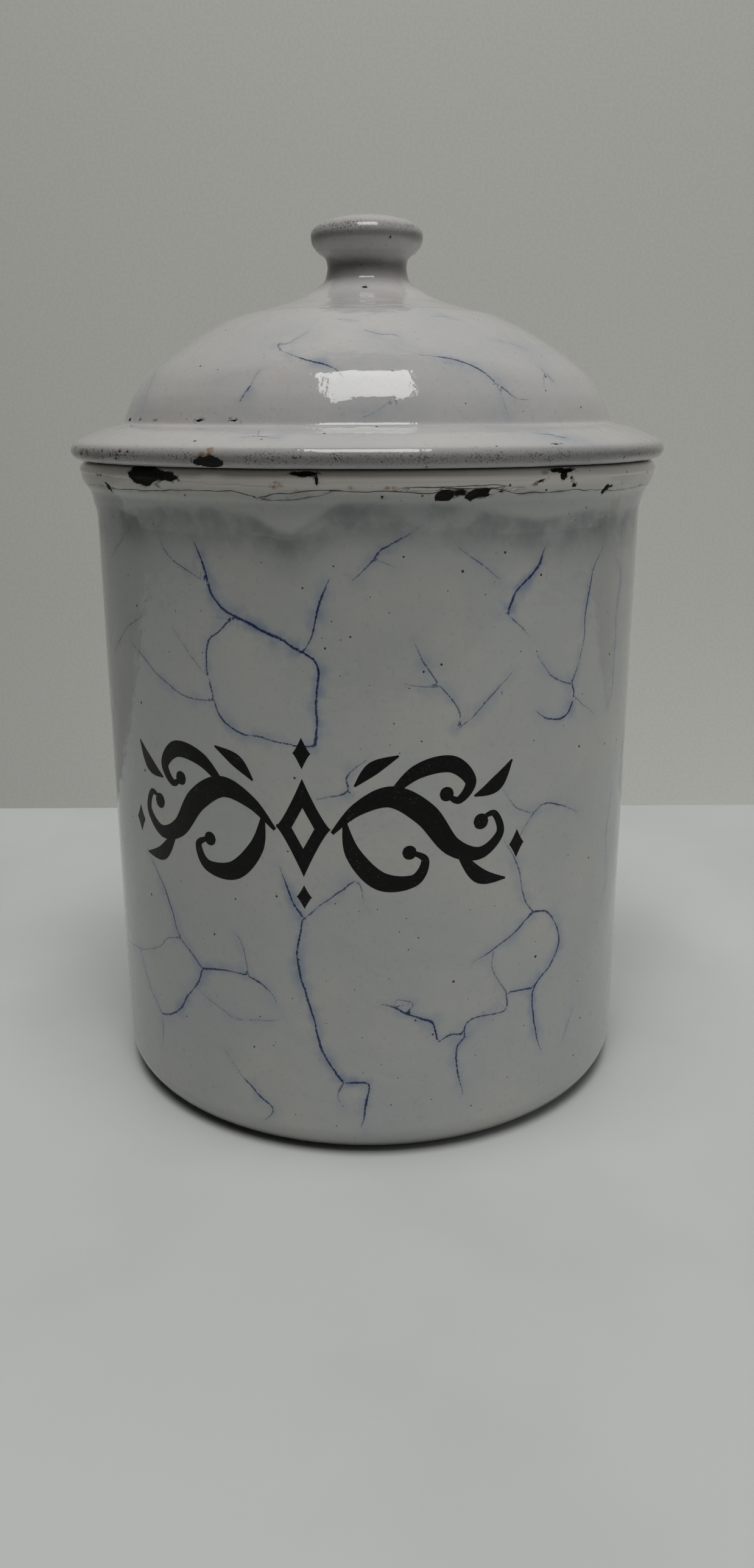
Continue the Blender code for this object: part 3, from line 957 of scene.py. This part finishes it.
def ornament(material):
    """The scroll wrapped round the wall, just proud of its enamel."""
    points, faces = [], []
    for rows in ornament_shapes():
        start = len(points)
        across = len(rows[0])
        for u, v in (point for row in rows for point in row):
            degrees = PRINT_DEGREES + math.degrees(u / WALL_RADIUS)
            points.append(around(degrees, WALL_RADIUS, PRINT_HEIGHT + v))
        for i in range(len(rows) - 1):
            for k in range(across - 1):
                at = start + i * across + k
                faces.append((at, at + across, at + across + 1, at + 1))
    points = np.array(points)
    out = points * np.array([1.0, 1.0, 0.0]) / WALL_RADIUS
    lifted = points + out * (swell(points) + PRINT_LIFT)[:, None]
    piece = new_piece("front_ornament", (lifted * MM).tolist(), faces, material)
    piece.data.shade_smooth()
    return piece


# The pieces


def marks(shape, veins, cracks, chips, rust, vein_rows, crack_rows):
    """The attributes that the enamel's material reads. Veins and cracks come from drawn()."""
    found = {"rust": chip_distance(shape, vein_rows | crack_rows, rust)}
    for name, lines, rows in (("vein", veins, vein_rows), ("crack", cracks, crack_rows)):
        away, distance, ink = nearest(shape, rows, lines)
        found.update({f"{name}_offset": away, f"{name}_distance": distance, f"{name}_ink": ink})
    found["chip"] = chip_distance(shape, vein_rows | crack_rows, chips)
    return found


def dent(shape, found):
    """Cuts the chips and cracks into the surface, and leaves a low lip round each chip."""
    inside = -found["chip"]
    lip = 0.03 * ramp(inside, -0.5, 0.0) * (1 - ramp(inside, 0.0, 0.1))
    depth = 0.24 * ramp(inside, -0.02, 0.28)
    groove = 0.05 * ramp(-found["crack_distance"], -0.35, -0.05) * found["crack_ink"]
    shape.push(lip - depth - groove)


def canister(material):
    """The enamelled canister, with its marks on the side only."""
    shape = Turned(body_outline(), TURNS)
    shape.points[:, 2] = np.maximum(shape.points[:, 2], 0.0)
    faces_out = (shape.normal * shape.out).sum(axis=1) > -0.2
    side = (shape.row > 20) & (shape.radius > WALL_RADIUS - 3.0) & faces_out
    shape.push(np.where(side, swell(shape.points) * ramp(shape.height, 1.0, 8.0), 0.0))
    hem = side & (shape.height > MOUTH_HEIGHT - 8.0)
    routes = list(BODY_VEINS) + grown(11, 22, (68, 292), (8, 108), 0.87)
    veins = drawn(routes, on_body, ((7.0, 0.7), (2.6, 0.2)), 4)
    cracks = drawn(HEM_CRACKS, on_body, ((6.0, 0.4), (2.0, 0.16)), 8)
    chips = list(BODY_CHIPS)
    chips += small_chips(5, 46, (-180, 180), (112.6, 116.6), 52.2, (0.10, 0.26))
    found = marks(shape, veins, cracks, chips, BODY_RUST, side, hem)
    # Painted shade: how strongly the bluish-grey shade shows below the hem
    found["thin"] = np.where(side, under_hem_shade_amount(shape.points), 0.0)
    dent(shape, found)
    return shape.make("canister_body", material, found)


def lid(material):
    """The enamelled lid, with its marks on the upper face outside the knob's seat."""
    shape = Turned(lid_outline(), TURNS)
    upper = (shape.row < len(lid_top())) & (shape.radius > 17.0)
    uneven = 0.035 * ripple(shape.points, 13.0, 6) + 0.014 * ripple(shape.points, 5.0, 7)
    shape.push(np.where(upper, uneven, 0.0))
    routes = list(LID_VEINS) + grown(23, 9, (62, 278), (21, 51), 0.65)
    veins = drawn(routes, on_lid, ((7.0, 0.5), (2.6, 0.18)), 5)
    cracks = drawn(LID_CRACKS, on_lid, ((5.0, 0.3), (1.8, 0.1)), 9)
    roll = (MOUTH_HEIGHT + 0.8, MOUTH_HEIGHT + 2.6)
    chips = from_mouth(LID_CHIPS)
    chips += small_chips(7, 60, (-88, -44), roll, 53.8, (0.08, 0.2))
    chips += small_chips(8, 40, (90, 270), roll, 53.8, (0.08, 0.22))
    edge = upper & (shape.radius > 43.0)
    found = marks(shape, veins, cracks, chips, from_mouth(LID_RUST), upper, edge)
    dent(shape, found)
    return shape.make("lid_dome", material, found, closed=True)


def knob(material):
    """Both halves of the knob under one skin of enamel, which has chips but no veins or cracks."""
    shape = Turned(knob_outline(), KNOB_TURNS)
    outside = shape.row > 20
    shape.push(np.where(outside, 0.02 * ripple(shape.points, 5.0, 12), 0.0))
    count = len(shape.points)
    found = {
        "crack_offset": np.full((count, 3), FAR),
        "crack_distance": np.full(count, FAR),
        "crack_ink": np.zeros(count),
        "chip": chip_distance(shape, outside, from_mouth(KNOB_CHIPS)),
        "rust": np.full(count, FAR),
    }
    dent(shape, found)
    return shape.make("knob", material, found)


def collar(material):
    """The band under the lid, flared where it joins the dome and rounded at its foot."""
    knots = [(1.8, 2.5), (0.7, 2.8), (0.1, 2.2), (0.0, 1.0)]
    flare = [(COLLAR_RADIUS + out, MOUTH_HEIGHT + up) for out, up in knots]
    outside = smooth(flare + [(COLLAR_RADIUS, COLLAR_FOOT + SHEET / 2)], 0.8)
    edge = arc((COLLAR_RADIUS - SHEET / 2, COLLAR_FOOT + SHEET / 2), SHEET / 2, 0, -180, 0.15)
    outline = joined(outside, edge, offset(outside, SHEET)[::-1])[::-1]
    return Turned(outline, COLLAR_TURNS).make("lid_collar_band", material, closed=True)


def washer(material):
    """The washer under the lid, with rounded outer edges."""
    low, high = WASHER_LOW.z, WASHER_HIGH.z
    outer, inner = WASHER_HIGH.x, RIVET_HIGH.x * 0.55
    below = arc((outer - 0.4, low + 0.4), 0.4, -90, 0, 0.1)
    above = arc((outer - 0.3, high - 0.3), 0.3, 0, 90, 0.1)
    outline = joined([(inner, low)], below, above, [(inner, high)])
    return Turned(outline, RIVET_TURNS).make("rivet_washer_face", material, closed=True)


def rivet(material):
    """The peened tail under the lid, its shank and the head inside the knob."""
    tail, reach = RIVET_LOW.z, RIVET_HIGH.x
    under = WASHER_LOW.z - 0.2
    swelling = [(reach * 0.45, tail + 0.12), (reach * 0.8, tail + 0.6), (reach * 0.98, tail + 1.2)]
    outline = smooth([(0.0, tail), *swelling, (reach, under)], 0.2)
    shank = reach * 0.53
    head = RIVET_HIGH.z - 1.6
    outline += [(shank, under), (shank, head), (reach, head), (reach * 0.7, head + 1.3), (0.0, head + 1.6)]
    return Turned(outline, RIVET_TURNS).make("rivet", material)


# The room


def pale_surface(name, colour, grain):
    """Matt paint with a faint mottle of a size in millimetres."""
    n = Nodes(name)
    mottle = n.map(n.noise(grain, 3.0), 0.4, 0.6)
    n.set(Base_Color=n.mix(mottle, colour, tuple(0.96 * c for c in colour)), Roughness=0.55)
    return n.material


def slab(name, low, high, material):
    """A box between two corners, for staging only."""
    corners = [(x, y, z) for z in (low[2], high[2]) for y in (low[1], high[1]) for x in (low[0], high[0])]
    faces = [(2, 3, 1, 0), (4, 5, 7, 6), (0, 1, 5, 4), (1, 3, 7, 5), (3, 2, 6, 7), (2, 0, 4, 6)]
    new_piece(name, corners, faces, material)


def room():
    """A pale table top that ends behind the canister, in a plain room of pale grey walls."""
    table = pale_surface("table_paint", (0.625, 0.648, 0.642), 60.0)
    wall = pale_surface("wall_paint", (0.575, 0.58, 0.552), 2.0)
    dim = pale_surface("far_wall_paint", (0.36, 0.36, 0.345), 2.0)
    back, side, front = 0.65, 1.8, -2.2
    low, high, deep = -0.5, 2.4, 0.05
    slab("table", (-0.75, -0.41, -0.004), (0.75, 0.149, 0.0), table)
    slab("wall_back", (-side, back, low), (side, back + deep, high), wall)
    slab("wall_front", (-side, front - deep, low), (side, front, high), dim)
    slab("wall_left", (-side - deep, front, low), (-side, back, high), dim)
    slab("wall_right", (side, front, low), (side + deep, back, high), dim)
    slab("ground", (-side, front, low - deep), (side, back, low), dim)


def soft_light(name, place, aim, size, power, colour=(1.0, 1.0, 1.0), mirrored=False):
    """A rectangular light of some watts, which the enamel mirrors or not."""
    data = bpy.data.lights.new(name, "AREA")
    data.shape = "RECTANGLE"
    data.size, data.size_y = size
    data.energy = power
    data.color = colour
    light = bpy.data.objects.new(name, data)
    light.location = place
    light.rotation_euler = (Vector(aim) - Vector(place)).to_track_quat("-Z", "Y").to_euler()
    light.visible_glossy = mirrored
    bpy.context.collection.objects.link(light)
    return light


def lights():
    """A wide soft light overhead, a weak one on the right, and one that evens out the wall behind."""
    overhead = soft_light(
        "overhead",
        place=(-0.02, -0.47, 1.715),
        aim=(-0.02, 0.577, 0.1),
        size=(0.84, 1.12),
        power=17.3,
        colour=(1.0, 0.99, 0.97),
        mirrored=True,
    )
    overhead.rotation_euler.rotate_axis("Z", math.radians(4.0))
    soft_light("right", place=(1.3, -0.5, 0.7), aim=(0.0, 0.0, 0.1), size=(1.2, 1.2), power=3.0)
    soft_light("wall_wash", place=(0.25, 0.22, -0.35), aim=(0.1, 0.65, -0.05), size=(1.6, 0.2), power=1.6)
    world = bpy.data.worlds.new("room")
    world.use_nodes = True
    background = world.node_tree.nodes["Background"]
    background.inputs["Color"].default_value = (0.95, 1.0, 0.96, 1.0)
    background.inputs["Strength"].default_value = 0.02
    bpy.context.scene.world = world


def camera():
    """A wide-angle camera close to the canister, a little above its lid and looking down."""
    lens, sensor = 28.03, 36.0
    wall = WALL_RADIUS * MM
    back, up = 4.7224 * wall, 2.5177 * wall
    pitch, yaw, roll = 0.2974, 0.0065, -0.0028
    data = bpy.data.cameras.new("camera")
    data.lens = lens
    data.sensor_width = sensor
    data.clip_start = 0.01
    view = bpy.data.objects.new("camera", data)
    view.location = (0.0, -back, up)
    level = Matrix.Rotation(-yaw, 4, "Z") @ Matrix.Rotation(math.pi / 2 - pitch, 4, "X")
    view.rotation_euler = (level @ Matrix.Rotation(roll, 4, "Z")).to_euler()
    bpy.context.collection.objects.link(view)
    bpy.context.scene.camera = view


def place(piece, body, slot, *nodes):
    """Puts a piece on a body of the frame, in place of any nodes that it covers."""
    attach(piece, body)
    if nodes:
        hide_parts(*nodes)


CANISTER_WHITE = ((0.503, 0.499, 0.476), (0.464, 0.472, 0.466))
LID_WHITE = ((0.560, 0.545, 0.536), (0.522, 0.514, 0.513))
INNER_WHITE = (0.55, 0.545, 0.53)
# Painted shade: a dark band round the foot, below what the camera sees, that deepens the contact shadow
FOOT_PAINTED_SHADE = (-1.0, 0.8, 4.2, 0.7, 0.5)
# Lid's rolled edge: a grey film of painted shade where the roll faces down and out, with real dark specks in
# it
ROLL_SHADE_AND_SPECKS = (MOUTH_HEIGHT - 0.1, MOUTH_HEIGHT + 1.5, MOUTH_HEIGHT + 3.8, 0.45, 0.95)
# Knob: brown specks on the shoulder; a grey film of painted shade on the band below it and in the neck under
# the cap
KNOB_SHADE_AND_SPECKS = (
    (MOUTH_HEIGHT + 36.8, MOUTH_HEIGHT + 38.7, MOUTH_HEIGHT + 40.8, 0.22, 0.9),
    (MOUTH_HEIGHT + 36.0, MOUTH_HEIGHT + 37.4, MOUTH_HEIGHT + 38.5, 0.45, 0.3),
    (MOUTH_HEIGHT + 30.0, MOUTH_HEIGHT + 32.6, MOUTH_HEIGHT + 34.7, 0.47, 0.3),
)

camera()
lights()
room()

body_enamel = worn_enamel("canister_enamel", *CANISTER_WHITE, veins=True, thin=True, shade_and_specks=(FOOT_PAINTED_SHADE,))
lid_enamel = worn_enamel("lid_enamel", *LID_WHITE, veins=True, shade_and_specks=(ROLL_SHADE_AND_SPECKS,))
knob_enamel = worn_enamel("knob_enamel", *LID_WHITE, shade_and_specks=KNOB_SHADE_AND_SPECKS)
white_enamel = plain_enamel("inner_enamel", INNER_WHITE)
steel = wire_steel("steel_wire")

place(canister(body_enamel), "canister", "canister_enamel", "body_wall", "base_plate")
place(ornament(print_black("transfer_print")), "canister", "canister_enamel")
place(lid(lid_enamel), "lid", "lid_enamel", "lid_shell")
place(knob(knob_enamel), "lid", "lid_enamel", "knob_neck", "knob_cap")
place(collar(white_enamel), "lid", "inner_enamel", "lid_collar")
place(washer(white_enamel), "lid", "inner_enamel", "rivet_washer")
place(rivet(white_enamel), "lid", "inner_enamel", "knob_rivet")
for wire in ("mouth_wire", "lid_edge_wire"):
    wire_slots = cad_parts[wire].data.materials
    wire_slots.clear()
    wire_slots.append(steel)

bpy.context.scene.view_settings.view_transform = "Standard"
bpy.context.scene.view_settings.look = "Medium High Contrast"
